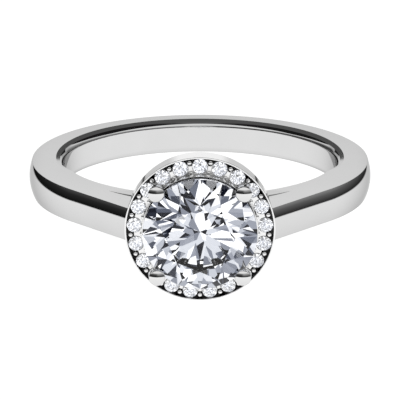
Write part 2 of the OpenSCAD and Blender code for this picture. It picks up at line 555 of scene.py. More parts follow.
class RoundArray(Tree):
    """Sets copies of one shape round the head."""

    NAME = "round_array"
    INPUTS = {"Object": ("Shape",), "Int": ("Count", "Seed"), "Float": ("Radius", "Height", "Start", "Spin")}

    def shape(self) -> Value:
        """Wires the copies, clockwise from the start, each turned by a share of the spin.

        Returns:
            The copies.
        """
        nt, given = self.nt, self.given
        angle = given["Start"] - nt.out("GeometryNodeInputIndex") / given["Count"] * FULL_TURN
        place = nt.vector(angle.cos() * given["Radius"], angle.sin() * given["Radius"], given["Height"])
        points = nt.out("GeometryNodePoints", {"Count": given["Count"], "Position": place})
        share = nt.out("FunctionNodeRandomValue", {"Seed": given["Seed"]}, 1, data_type="FLOAT")
        turned = nt.vector(0.0, 0.0, angle + share * given["Spin"])
        copies = {"Points": points, "Instance": nt.geometry(given["Shape"]), "Rotation": turned}
        return nt.out("GeometryNodeInstanceOnPoints", copies)


class Lathe(Tree):
    """Turns a row of radius and height points round Z."""

    NAME = "lathe"
    INPUTS = {"Object": ("Outline",), "Int": ("Steps",)}

    def shape(self) -> Value:
        """Wires the turned skin.

        Returns:
            The skin.
        """
        nt, steps = self.nt, self.given["Steps"]
        points, count = nt.row(self.given["Outline"])
        sheet, turn, along = nt.sheet(steps + 1, count)
        radius, _, height = nt.sample(points, along)
        angle = turn / steps * FULL_TURN
        return nt.bend(sheet, radius * angle.cos(), radius * angle.sin(), height)

    def turned(self, name: str, outline: Sequence[Span], steps: int, finish: Material,
               crease: float) -> Mesh:
        """Turns an outline.

        Args:
            name: The name of the mesh.
            outline: Pairs of radius and height.
            steps: Steps round the shape.
            finish: Its material.
            crease: Angle in degrees past which an edge stays sharp.

        Returns:
            The finished shape.
        """
        row = plain_mesh(name + "_outline", [(r, 0.0, h) for r, h in outline])
        return finished(self.mesh(name, outline=row, steps=steps, finish=finish), Shade.SMOOTH, crease)


class Rods(Tree):
    """Runs a round rod along each path, with the path's own thickness at each point."""

    NAME = "rods"
    INPUTS = {"Object": ("Paths",), "Int": ("Sides",)}
    THICKNESS = "thickness"
    CREASE = 50.0

    def shape(self) -> Value:
        """Wires the rods.

        Returns:
            The rods.
        """
        nt, given = self.nt, self.given
        return nt.out("GeometryNodeCurveToMesh", {
            "Curve": nt.out("GeometryNodeMeshToCurve", {"Mesh": nt.geometry(given["Paths"])}),
            "Profile Curve": nt.out("GeometryNodeCurvePrimitiveCircle",
                                    {"Resolution": given["Sides"], "Radius": 1.0}),
            "Scale": nt.out("GeometryNodeInputNamedAttribute", {"Name": self.THICKNESS}, data_type="FLOAT"),
            "Fill Caps": True,
        })

    def along(self, name: str, paths: Sequence[Sequence[tuple[Vector, float]]], sides: int,
              finish: Material) -> Mesh:
        """Makes rods along paths.

        Args:
            name: The name of the mesh.
            paths: For each rod, its points and its radius at each.
            sides: Sides of each rod.
            finish: The rods' material.

        Returns:
            The rods as one finished mesh.
        """
        points, edges, radii = [], [], []
        for path in paths:
            edges += [(len(points) + i, len(points) + i + 1) for i in range(len(path) - 1)]
            points += [p for p, _ in path]
            radii += [r for _, r in path]
        mesh = plain_mesh(name + "_paths", points, edges)
        mesh.attributes.new(self.THICKNESS, "FLOAT", "POINT").data.foreach_set("value", radii)
        return finished(self.mesh(name, paths=mesh, sides=sides, finish=finish), Shade.SMOOTH, self.CREASE)


class BandSweep(Tree):
    """Sweeps the band's section round the finger hole.

    A section is a row of points. X is the place across the width, from -1 to 1. Y goes from 0 at
    the finger hole's wall over 1 at the softened rim's end and 2 at the sloped strip's end to 3
    beyond the outer edge. Z is 1 on the crowned outer face and 0 elsewhere.
    """

    NAME = "band_sweep"
    INPUTS = {
        "Object": ("Section",), "Int": ("Stations",),
        "Float": ("Begin", "End", "Wall", "Curve", "Shift", "Arm", "Arm End", "Half", "Taper", "Crown",
                  "Corner", "Rim", "Least Rim", "Strip", "Slope", "Bend", "Rim From", "Rim To",
                  "Strip From", "Strip To"),
    }
    BEYOND = 4.0

    def rim_depth(self, out: Value, rim: Value, strip: Value) -> Value:
        """Depth of the softened rim below the side.

        Args:
            out: Distance outside the wall.
            rim: Radius that softens the rim.
            strip: Width of the sloped strip beside it.

        Returns:
            The depth.
        """
        slope, bend = self.given["Slope"], self.given["Bend"]
        start = rim - rim * bend.sin()
        low = (rim + strip - start) * slope + rim * bend.cos()
        flat = ((rim + strip - out) * slope).at_least(0.0)
        reach = rim - out
        curved = low - (rim * rim - reach * reach).root()
        return start.above(out).pick(flat, curved)

    def shape(self) -> Value:
        """Wires the swept skin; its first and last rows close the ends.

        Returns:
            The skin.
        """
        nt, given = self.nt, self.given
        points, count = nt.row(given["Section"])
        stations, begin, wall = given["Stations"], given["Begin"], given["Wall"]
        sheet, row, column = nt.sheet(stations + 2, count)
        across, place, crowned = nt.sample(points, column)
        step = (row - 1).at_least(0.0).at_most(stations - 1) / (stations - 1)
        angle = begin + (given["End"] - begin) * step
        sine, cosine = angle.sin(), angle.cos()
        turned = angle.size().at_most(FULL_TURN - angle.size())
        # Outer edge: a curve, or the straight shoulder that leaves it
        curve, shift, arm = given["Curve"], given["Shift"], given["Arm"]
        round_edge = shift * cosine + (curve * curve - shift * shift * sine * sine).root()
        straight = (arm - turned).at_least(0.0).cos()
        edge = (round_edge / straight).at_most(given["Arm End"] / cosine.at_least(LEAST_DIVISOR))
        # Crowned outer face, square to the curve or the shoulder
        half_mid, taper, crown = given["Half"], given["Taper"], given["Crown"]
        edge_y = edge * cosine * -1
        half = half_mid + taper * edge_y
        z_crown = across * half
        rise = (crown * crown - z_crown * z_crown).root() - (crown * crown - half * half).root()
        lean = turned.at_least(arm)
        x_crown = edge * sine + rise * lean.sin() * sine.sign()
        y_crown = edge_y - rise * lean.cos()
        # Sides, softened rims and the wall of the finger hole
        rim = nt.rise(turned, given["Rim From"], given["Rim To"]).pick(given["Least Rim"], given["Rim"])
        strip = nt.rise(turned, given["Strip From"], given["Strip To"]) * given["Strip"]
        out = place.at_most(1.0) * rim + (place - 1).at_least(0.0).at_most(1.0) * strip
        out = out + (place - 2).at_least(0.0) * self.BEYOND
        radius = (wall + out).at_most(edge - given["Corner"])
        x_side, y_side = radius * sine, radius * cosine * -1
        z_side = across * (half_mid + taper * y_side - self.rim_depth(radius - wall, rim, strip))
        # End rows draw together in the middle of the section
        middle = (wall + edge) / 2
        inner = row.above(0.5) * (stations + 0.5).above(row)
        x = inner.pick(middle * sine, crowned.pick(x_side, x_crown))
        y = inner.pick(middle * cosine * -1, crowned.pick(y_side, y_crown))
        return nt.bend(sheet, x, y, inner * crowned.pick(z_side, z_crown))


class Piece:
    """A mesh that becomes a finished piece of the ring."""

    def __init__(self, mesh: Mesh, place: Matrix) -> None:
        """Makes the object, with its place in its mesh.

        Args:
            mesh: The mesh, in mm, which gives the piece its name.
            place: From the mesh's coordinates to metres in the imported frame.
        """
        mesh.transform(place)
        self.obj = bpy.data.objects.new(mesh.name, mesh)
        bpy.context.scene.collection.objects.link(self.obj)

    def dress(self, slot: Slot, materials: Sequence[Material], *stands_for: str) -> None:
        """Gives the piece its finish and ties it to the frame.

        Args:
            slot: The record's material slot that the piece belongs to; not used.
            materials: Materials by the mesh's material index.
            *stands_for: CAD nodes that it stands for.
        """
        mesh = self.obj.data
        used = [face.material_index for face in mesh.polygons]
        mesh.materials.clear()
        for material in materials:
            mesh.materials.append(material)
        mesh.polygons.foreach_set("material_index", used)
        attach(self.obj, BODY)
        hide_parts(*stands_for)
        LOG.info("%s: %d faces", self.obj.name, len(self.obj.data.polygons))


def softened(outline: Sequence[Span], radius: float, steps: int = 3, held: float = 0.04,
             most: float = 0.45) -> list[Span]:
    """Rounds every corner of a closed outline.

    Args:
        outline: Corners of the outline.
        radius: Radius of the rounding, less where a side is short.
        steps: Segments in each rounding.
        held: Share of a side to a point beside each rounding that keeps its shading off the flat.
        most: Most of a side that a rounding takes.

    Returns:
        The rounded outline.
    """
    made = []
    corners = [Vector(p) for p in outline]
    for i, corner in enumerate(corners):
        back = corners[i - 1] - corner
        ahead = corners[(i + 1) % len(corners)] - corner
        reach = min(radius, back.length * most, ahead.length * most)
        start, end = corner + back.normalized() * reach, corner + ahead.normalized() * reach
        if held:
            made.append(tuple(start + back.normalized() * min(reach / 2, back.length * held)))
        for k in range(steps + 1):
            t = k / steps
            made.append(tuple((1 - t) ** 2 * start + 2 * t * (1 - t) * corner + t ** 2 * end))
        if held:
            made.append(tuple(end + ahead.normalized() * min(reach / 2, ahead.length * held)))
    return made


@dataclass
class Band:
    """The band with its straight shoulders, and the finger rail that closes it under the head.

    Attributes:
        ring: The ring's frame.
        gold: Finish of the band.
        sweep: Tree that sweeps a section.
        thickness: From the finger hole to the outer corner edges.
        dome_rise: Rise of the outer face above those edges.
        width_back: Width at the back.
        width_head: Width at the head.
        edge_r: Radius that softens the rims of the finger hole, round the back.
        fine_edge_r: The same towards the head.
        rim_bend: Slope of the softened rim, in degrees, where the strip meets it.
        rim_fade: Angles from the head, in degrees, between which the rim gets its full softening.
        strip_fade: The same for the strip.
        strip_w: Width of the sloped strip beside that rim.
        strip_drop: Depth by which the strip falls inwards.
        corner_r: Width of the broken outer corner edges.
        arm_angle: Angle from the head, in degrees, where the straight shoulders start.
        arm_gap: Open width between the shoulders under the head.
        rail_w: Width of the rail.
        rail_t: Thickness of the rail in the middle.
        rail_inset: How much smaller the rail's outer curve is than the finger hole's radius.
        rail_sunk: How far the rail's wall lies behind the finger hole's, so that no faces coincide.
        rail_rise: Angle from the head, in degrees, inside which the rail stands out of the band's side.
        rail_reach: Angle from the head, in degrees, where the rail ends.
        rail_edge_r: Radius that softens the rail's own edges in the middle.
        rail_tip_edge_r: The same at its tips.
        rail_fade: Angles from the head, in degrees, from the tips' edges to the middle's.
        flat_crown: Radius of an outer face that is all but flat.
        wall_row: Share of the half width to a row on the wall that keeps its shading plain.
        stations: Sections round the band.
        rail_stations: Sections along the rail.
        crease: Angle in degrees past which an edge stays sharp.
    """

    ring: RingFrame
    gold: Material
    sweep: BandSweep
    thickness: float = 1.87
    dome_rise: float = 0.21
    width_back: float = 2.28
    width_head: float = 1.82
    edge_r: float = 0.4
    fine_edge_r: float = 0.004
    rim_bend: float = 29.0
    rim_fade: Span = (62.0, 76.0)
    strip_fade: Span = (66.0, 140.0)
    strip_w: float = 0.35
    strip_drop: float = 0.05
    corner_r: float = 0.035
    arm_angle: float = 45.0
    arm_gap: float = 3.8
    rail_w: float = 2.01
    rail_t: float = 1.12
    rail_inset: float = 0.7
    rail_sunk: float = 0.004
    rail_rise: float = 34.0
    rail_reach: float = 50.0
    rail_edge_r: float = 0.05
    rail_tip_edge_r: float = 0.008
    rail_fade: Span = (40.0, 25.0)
    flat_crown: float = 200.0
    wall_row: float = 0.93
    stations: int = 361
    rail_stations: int = 161
    crease: float = 5.0

    @property
    def outer_r(self) -> float:
        """Radius of the outer corner edges."""
        return self.ring.bore_r + self.thickness

    @property
    def half_mid(self) -> float:
        """Half of the band's width abreast of the finger hole's axis."""
        return (self.width_back + self.width_head) / 4

    @property
    def taper(self) -> float:
        """Growth of that half for each mm towards the back."""
        return (self.width_back - self.width_head) / (4 * self.outer_r)

    @property
    def rail_top(self) -> float:
        """Height of the rail's outer face in the middle."""
        return self.ring.bore_r + self.rail_t

    def section(self, bend: float, dome_steps: int = 28, rim_steps: int = 24) -> list[Triple]:
        """Lists the closed section's points for the sweep.

        Args:
            bend: Slope of the softened rims, in radians, where the strip meets them.
            dome_steps: Segments across the outer face.
            rim_steps: Segments round each softened rim.

        Returns:
            The points.
        """
        dome = [(-math.cos(math.pi * (k + 0.5) / (dome_steps + 1)), 3.0, 1.0) for k in range(dome_steps + 1)]
        side = [(3.0, 1.0), (2.0, 1.0)]
        for k in range(rim_steps + 1):
            side.append((1 - math.sin(bend + (math.pi / 2 - bend) * k / rim_steps), 1.0))
        side += [(0.0, self.wall_row), (0.0, 0.0)]
        top = [(across, place, 0.0) for place, across in side]
        bottom = [(-across, place, 0.0) for place, across in reversed(side[:-1])]
        return dome + top + bottom + dome[:1]

    def swept(self, name: str, rims: Span, fade: Span, bend: float = 0.0, **values: float) -> Mesh:
        """Sweeps a section round the finger hole.

        Args:
            name: The mesh's name.
            rims: Radii that soften each rim of the finger hole, before and after the fade.
            fade: Angles from the head, in degrees, over which one radius gives way to the other.
            bend: Slope of the rounding, in degrees, where it starts.
            **values: The sweep's other inputs.

        Returns:
            The mesh.
        """
        names = ("bend", "rim_from", "rim_to", "strip_from", "strip_to")
        angles = {n: math.radians(a) for n, a in zip(names, (bend, *fade, *self.strip_fade))}
        row = plain_mesh(name + "_section", self.section(angles["bend"]))
        made = self.sweep.mesh(name, section=row, least_rim=rims[0], rim=rims[1], corner=self.corner_r,
                               finish=self.gold, **angles, **values)
        return finished(made, Shade.SMOOTH, self.crease)

    def shank_mesh(self, end_h: float) -> Mesh:
        """Makes the band from one shoulder's end round the back to the other's.

        Args:
            end_h: Height where the shoulders end in the halo's floor.

        Returns:
            The mesh.
        """
        end = math.atan2(self.arm_gap / 2, end_h)
        return self.swept(
            "band", (self.fine_edge_r, self.edge_r), self.rim_fade, self.rim_bend, strip=self.strip_w,
            slope=self.strip_drop / self.strip_w, stations=self.stations, begin=end, end=FULL_TURN - end,
            wall=self.ring.bore_r, curve=self.outer_r, shift=0.0, arm=math.radians(self.arm_angle),
            arm_end=end_h, half=self.half_mid, taper=self.taper,
            crown=(self.half_mid ** 2 + self.dome_rise ** 2) / (2 * self.dome_rise),
        )

    def rail_mesh(self) -> Mesh:
        """Makes the crescent rail under the head; its ends lie inside the band.

        Returns:
            The mesh.
        """
        curve = self.ring.bore_r - self.rail_inset
        shift = self.rail_top - curve
        reach, rise = math.radians(self.rail_reach), math.radians(self.rail_rise)
        outer = shift * math.cos(rise) + math.sqrt(curve ** 2 - (shift * math.sin(rise)) ** 2)
        at = outer * math.cos(rise)
        taper = (self.rail_w / 2 - self.half_mid + self.taper * at) / (self.rail_top - at)
        return self.swept(
            "finger_rail", (self.rail_tip_edge_r, self.rail_edge_r), self.rail_fade, strip=0.0, slope=0.0,
            stations=self.rail_stations, begin=-reach, end=reach, wall=self.ring.bore_r + self.rail_sunk,
            curve=curve, shift=shift, arm=0.0, arm_end=2 * self.rail_top,
            half=self.rail_w / 2 - taper * self.rail_top, taper=-taper, crown=self.flat_crown,
        )

    def build(self, end_h: float) -> None:
        """Makes and dresses the band, up to the shoulders' end, and the rail."""
        for mesh in (self.shank_mesh(end_h), self.rail_mesh()):
            Piece(mesh, self.ring.upright()).dress(Slot.METAL, [self.gold], MOUNTING)


@dataclass(frozen=True)
class BrilliantCut:
    """Proportions of a round brilliant.

    Attributes:
        table: Table's width as a share of the diameter.
        crown_angle: Slope of the crown in degrees.
        pavilion_angle: Slope of the pavilion in degrees.
        girdle: Girdle's height as a share of the diameter.
        star: Share of the crown that the star facets reach over.
        star_pull: Factor on the radius of their tips, which draws them in a little.
        lower: Radius to which the lower facets reach, as a share of the stone's.
        girdle_steps: Segments of the girdle in a sixteenth of a turn.
    """

    table: float = 0.57
    crown_angle: float = 34.5
    pavilion_angle: float = 40.75
    girdle: float = 0.03
    star: float = 0.5
    star_pull: float = 0.97
    lower: float = 0.24
    girdle_steps: int = 4

    @staticmethod
    def around(radius: float, sixteenths: float, height: float) -> Vector:
        """Place on a circle, at some sixteenths of a turn."""
        a = sixteenths * math.pi / 8
        return Vector((radius * math.cos(a), radius * math.sin(a), height))

    def girdle_point(self, radius: float, height: float, place: float, peak: Vector) -> Vector:
        """Finds where a facet meets the girdle, which is curved while the facet is flat.

        Args:
            radius: The girdle's radius.
            height: Height of the facet's two corners on the girdle.
            place: Sixteenths of a turn to the point.
            peak: The facet's third corner.

        Returns:
            The point.
        """
        a = self.around(radius, math.floor(place), height)
        b = self.around(radius, math.floor(place) + 1, height)
        point = self.around(radius, place, 0.0)
        normal = (a - peak).cross(b - peak)
        point.z = a.z - (normal.x * (point.x - a.x) + normal.y * (point.y - a.y)) / normal.z
        return point

    def mesh(self, name: str, diameter: float) -> Mesh:
        """Cuts a stone with its girdle's middle at height 0.

        Args:
            name: The mesh's name.
            diameter: The stone's diameter in mm.

        Returns:
            The mesh, with its table towards +Z.
        """
        r, g = diameter / 2, self.girdle * diameter / 2
        crown = math.tan(math.radians(self.crown_angle))
        pavilion = math.tan(math.radians(self.pavilion_angle))
        table_r, low_r = r * self.table, r * self.lower
        top = g + (r - table_r) * crown
        eighth = math.cos(math.pi / 8)
        star_r = (table_r + (r - table_r) * self.star) / eighth * self.star_pull
        star_h, low_h = top - (star_r * eighth - table_r) * crown, -g - (r - low_r * eighth) * pavilion
        points = [self.around(table_r, 2 * i, top) for i in range(8)]
        points += [self.around(star_r, 2 * i + 1, star_h) for i in range(8)]
        points += [self.around(low_r, 2 * i + 1, low_h) for i in range(8)]
        points.append(Vector((0, 0, -g - r * pavilion)))
        table, star, low, culet = 0, 8, 16, 24
        faces = [[table + i for i in range(8)]]
        faces += [[table + i, table + (i + 1) % 8, star + i] for i in range(8)]
        n = self.girdle_steps
        count = 16 * n
        upper, lower = [], []
        for m in range(count):
            for row, height, peak in ((upper, g, star), (lower, -g, low)):
                row.append(len(points))
                points.append(self.girdle_point(r, height, m / n, points[peak + m // (2 * n)]))
        for k in range(16):
            run = [(k * n + j) % count for j in range(n + 1)]
            faces.append([star + k // 2] + [upper[m] for m in reversed(run)])
            faces.append([low + k // 2] + [lower[m] for m in run])
        for i in range(8):
            at = 2 * i * n
            faces.append([table + i, star + i, upper[at], star + (i - 1) % 8])
            faces.append([lower[at], low + i, culet, low + (i - 1) % 8])
        for m in range(count):
            faces.append([upper[m], upper[(m + 1) % count], lower[(m + 1) % count], lower[m]])
        return finished(plain_mesh(name, points, faces=faces), Shade.FACETED)


@dataclass(frozen=True)
class HeadPlan:
    """Sizes and places in the head, in mm, with heights from the finger hole's axis towards it.

    Attributes:
        cut: Proportions of the stones.
        rail_top: Height of the finger rail's outer face.
        center_d: Diameter of the centre stone.
        melee_d: Diameter of the small stones.
        culet_gap: Room between the rail and the centre stone's point.
        center_rise: Height of the centre stone's girdle above the outer rim.
        halo_depth: Depth of the halo cup.
        rim_t: Thickness of the outer rim.
        inner_rim_t: Thickness of the inner rim.
        inner_rim_inset: How far the inner rim reaches under the centre stone.
        inner_rim_rise: Height of the inner rim above the outer one.
        ledge_w: Width of the sloped ledge inside the inner rim.
        ledge_slope: Fall of that ledge for each mm.
        floor_t: Thickness of the cup's floor.
        melee_sink: Depth of the small stones' girdles under the outer rim.
        stone_gap: Gap between a small stone and its seat.
        outer_bead_r: Radius of the outer setting beads.
        inner_bead_r: Radius of the inner setting beads.
        bead_sink: From the inner rim to the middle of an inner bead, as a share of its radius.
        bead_rise: Height of the beads over the small stones' girdles, as a share of melee_sink.
        prong_angle: Angle round the head from its side to the first prong, in degrees.
        prong_tip_r: Radius of a prong's tip.
        prong_out: How far a tip's middle lies outside the centre stone.
        prong_up: Height above the girdle up to which a prong swells.
        post_r: Radius of a prong's post.
        post_inset: How far a post stays inside the inner rim's outer face.
        leg_r: Radius of a leg.
        leg_inset: How far a leg's foot stays inside the rail's side.
        leg_sink: How deep it stands in the rail.
    """

    cut: BrilliantCut
    rail_top: float
    center_d: float = 5.88
    melee_d: float = 0.78
    culet_gap: float = 0.16
    center_rise: float = 0.65
    halo_depth: float = 1.22
    rim_t: float = 0.085
    inner_rim_t: float = 0.11
    inner_rim_inset: float = 0.05
    inner_rim_rise: float = 0.34
    ledge_w: float = 0.44
    ledge_slope: float = 1.45
    floor_t: float = 0.55
    melee_sink: float = 0.15
    stone_gap: float = 0.02
    outer_bead_r: float = 0.11
    inner_bead_r: float = 0.12
    bead_sink: float = 0.1
    bead_rise: float = 0.4
    prong_angle: float = 45.5
    prong_tip_r: float = 0.42
    prong_out: float = 0.21
    prong_up: float = 0.07
    post_r: float = 0.22
    post_inset: float = 0.03
    leg_r: float = 0.3
    leg_inset: float = 0.08
    leg_sink: float = 0.3

    @property
    def girdle_h(self) -> float:
        """Height of the middle of the centre stone's girdle."""
        pavilion = self.center_d / 2 * math.tan(math.radians(self.cut.pavilion_angle))
        return self.rail_top + self.culet_gap + pavilion + self.cut.girdle * self.center_d / 2

    @property
    def rim_h(self) -> float:
        """Height of the halo's outer rim."""
        return self.girdle_h - self.center_rise

    @property
    def back_h(self) -> float:
        """Height of the halo's back."""
        return self.rim_h - self.halo_depth

    @property
    def floor_h(self) -> float:
        """Height of the floor of the stones' channel."""
        return self.back_h + self.floor_t

    @property
    def post_foot_h(self) -> float:
        """Height inside the floor where the prongs' posts start."""
        return self.back_h + self.floor_t / 4

    @property
    def leg_end_h(self) -> float:
        """Height inside the floor where the legs end."""
        return self.back_h + self.floor_t / 3

    @property
    def arm_end_h(self) -> float:
        """Height inside the floor where the band's shoulders end."""
        return self.back_h + self.floor_t / 2

    @property
    def bead_foot_h(self) -> float:
        """Height inside the floor where beads and webs start."""
        return self.floor_h - self.floor_t / 4

    @property
    def inner_rim_h(self) -> float:
        """Height of the halo's inner rim."""
        return self.rim_h + self.inner_rim_rise

    @property
    def melee_h(self) -> float:
        """Height of the small stones' girdles."""
        return self.rim_h - self.melee_sink

    @property
    def inner_rim_in(self) -> float:
        """Inner radius of the inner rim."""
        return self.center_d / 2 - self.inner_rim_inset

    @property
    def inner_rim_out(self) -> float:
        """Outer radius of the inner rim."""
        return self.inner_rim_in + self.inner_rim_t

    @property
    def melee_ring(self) -> float:
        """Radius of the circle of small stones."""
        return self.inner_rim_out + self.melee_d / 2 + self.stone_gap

    @property
    def channel_out(self) -> float:
        """Outer radius of the stones' channel."""
        return self.inner_rim_out + self.melee_d + 2 * self.stone_gap

    @property
    def halo_r(self) -> float:
        """Outer radius of the halo."""
        return self.channel_out + self.rim_t

    @property
    def open_r(self) -> float:
        """Radius of the opening under the centre stone."""
        return self.inner_rim_in - self.ledge_w

    @property
    def ledge_h(self) -> float:
        """Height of the opening's upper edge, well under the centre stone's pavilion."""
        return self.inner_rim_h - self.ledge_slope * self.ledge_w

    @property
    def bead_top(self) -> float:
        """Height of the setting beads."""
        return self.melee_h + self.bead_rise * self.melee_sink

    @property
    def post_ring(self) -> float:
        """Radius of the circle of prong posts."""
        return self.inner_rim_out - self.post_inset - self.post_r

    @property
    def tip_ring(self) -> float:
        """Radius of the circle of prong tips."""
        return self.center_d / 2 + self.prong_out

    def corners(self) -> list[float]:
        """Angles of the prongs round the head in radians."""
        a = math.radians(self.prong_angle)
        return [a, math.pi - a, math.pi + a, -a]


@dataclass
class Halo:
    """The halo cup with its rims, setting beads and small stones.

    Attributes:
        ring: The ring's frame.
        plan: Sizes of the head.
        lathe: Tree that turns an outline.
        array: Tree that sets copies round the head.
        gold: Finish of the cup, a lighter copy of the band's white gold: painted light.
        painted_light_bead_gold: Finish of the setting beads, a lighter copy of the white gold: painted
            light.
        web: Finish of the metal between the stones, a lighter copy of the white gold: painted light.
        painted_shade: Near-black copy of the white gold: painted shade on the floor's outer half and outer
            beads' sides.
        diamond: Finish of the stones, with a faint painted glow.
        count: Number of small stones.
        bevel: Rounding of the cup's edges.
        turns: Steps round the cup.
        web_reach: How far the metal between the stones reaches past their circle.
        web_drop: How far its top lies under the stones' girdles.
        web_top: Width of its top as a share of the width below.
        draft: How much narrower the cup is at its back.
        bead_round: Height of a bead's cap as a share of its radius.
        bead_clear: From the channel's outer wall to the middle of an outer bead.
        bead_sides: Sides of a bead.
        crease: Angle in degrees past which an edge of the cup or a web stays sharp.
        bead_crease: The same for a bead.
    """

    ring: RingFrame
    plan: HeadPlan
    lathe: Lathe
    array: RoundArray
    gold: Material
    painted_light_bead_gold: Material
    web: Material
    painted_shade: Material
    diamond: Material
    count: int = len(HALO_STONES)
    bevel: float = 0.02
    turns: int = 240
    web_reach: float = 0.04
    web_drop: float = 0.03
    web_top: float = 0.9
    draft: float = 0.021
    bead_round: float = 0.3
    bead_clear: float = 0.21
    bead_sides: int = 16
    crease: float = 35.0
    bead_crease: float = 60.0

    def cup_mesh(self) -> Mesh:
        """Makes the cup, with painted shade on the outer half of its channel's floor, in the second
        material.

        Returns:
            The mesh.
        """
        p = self.plan
        outline = softened([
            (p.open_r, p.back_h), (p.halo_r - self.draft, p.back_h), (p.halo_r, p.rim_h),
            (p.channel_out, p.rim_h), (p.channel_out, p.floor_h), (p.melee_ring, p.floor_h),
            (p.inner_rim_out, p.floor_h), (p.inner_rim_out, p.inner_rim_h), (p.inner_rim_in, p.inner_rim_h),
            (p.open_r, p.ledge_h),
        ], self.bevel)
        mesh = self.lathe.turned("halo_cup", [*outline, outline[0]], self.turns, self.gold, self.crease)
        # Faces on the outer half of the channel's floor take the near-black second material: painted shade.
        for face in mesh.polygons:
            outside = p.melee_ring < math.hypot(face.center.x, face.center.y) < p.channel_out
            face.material_index = int(outside and abs(face.center.z - p.floor_h) < self.bevel)
        return mesh

    def bead_mesh(self, radius: float, steps: int = 6) -> Mesh:
        """Makes one bead: a short post with a round top, standing on height 0.

        Args:
            radius: The bead's radius.
            steps: Segments from its side to the middle of its top.

        Returns:
            The mesh.
        """
        height = self.plan.bead_top - self.plan.bead_foot_h
        row = [(0.0, 0.0), (radius, 0.0)]
        for k in range(steps + 1):
            a = math.pi / 2 * k / steps
            row.append((radius * math.cos(a), height - radius * self.bead_round * (1 - math.sin(a))))
        return self.lathe.turned("bead", row, self.bead_sides, self.gold, self.bead_crease)

    def web_mesh(self, steps: int = 6) -> Mesh:
        """Makes the metal left between two small stones, its top just under their girdles.

        Args:
            steps: Segments along each hollow side.

        Returns:
            The web, reaching out along X with its foot at height 0.
        """
        p = self.plan
        half = math.pi / self.count
        middle, aside = p.melee_ring * math.cos(half), p.melee_ring * math.sin(half)
        hole = p.melee_d / 2 + p.stone_gap
        begin, end = p.inner_rim_out - p.inner_rim_t / 4, p.melee_ring + self.web_reach
        side = []
        for k in range(steps + 1):
            x = begin + (end - begin) * k / steps
            side.append((x, aside - math.sqrt(max(hole ** 2 - (x - middle) ** 2, 0.0))))
        outline = softened([(x, -y) for x, y in side] + side[::-1], self.bevel, steps=1, held=0.0)
        top = p.melee_h - self.web_drop - p.bead_foot_h
        center = Vector(((begin + end) / 2, 0.0))
        count = len(outline)
        points = []
        for h, share in ((0.0, 1.0), (top - self.bevel, 1.0), (top, self.web_top)):
            points += [(*(center + (Vector(q) - center) * share), h) for q in outline]
        faces = [[i, i - i % count + (i + 1) % count, i - i % count + (i + 1) % count + count, i + count]
                 for i in range(2 * count)]
        faces += [list(reversed(range(count))), list(range(2 * count, 3 * count))]
        return finished(plain_mesh("web", points, faces=faces), Shade.SMOOTH, self.crease)

    def set_round(self, name: str, shape: Mesh, radius: float, finish: Material,
                  painted_shade_h: float = 0.0) -> None:
        """Sets metal shapes between the stones and dresses them.

        Args:
            name: The piece's name.
            shape: The shape to copy.
            radius: Radius of the circle of copies.
            finish: Their finish.
            painted_shade_h: Height under which they take the near-black finish of painted shade.
        """
        metal = self.array.mesh(
            name, shape=shape, count=self.count, radius=radius, height=self.plan.bead_foot_h,
            start=math.pi / 2 - math.pi / self.count, spin=0.0, seed=1, finish=finish,
        )
        # Faces under that height take the near-black finish: painted shade on the lower sides.
        for face in metal.polygons:
            face.material_index = int(face.center.z < painted_shade_h)
        finishes = [finish, self.painted_shade] if painted_shade_h else [finish]
        Piece(metal, self.ring.head()).dress(Slot.METAL, finishes, MOUNTING)

    def build(self) -> None:
        """Makes and dresses the halo."""
        p = self.plan
        Piece(self.cup_mesh(), self.ring.head()).dress(Slot.METAL, [self.gold, self.painted_shade], MOUNTING)
        self.set_round("outer_beads", self.bead_mesh(p.outer_bead_r), p.channel_out - self.bead_clear,
                       self.painted_light_bead_gold, p.bead_top - p.outer_bead_r * self.bead_round)
        self.set_round("inner_beads", self.bead_mesh(p.inner_bead_r),
                       p.inner_rim_out + p.inner_bead_r * p.bead_sink, self.painted_light_bead_gold)
        self.set_round("stone_webs", self.web_mesh(), 0.0, self.web)
        stones = self.array.mesh(
            "halo_stones", shape=p.cut.mesh("small_brilliant", p.melee_d), count=self.count,
            radius=p.melee_ring, height=p.melee_h, start=math.pi / 2, spin=math.pi / 4, seed=7,
            finish=self.diamond,
        )
        Piece(stones, self.ring.head()).dress(Slot.STONE, [self.diamond], *HALO_STONES)


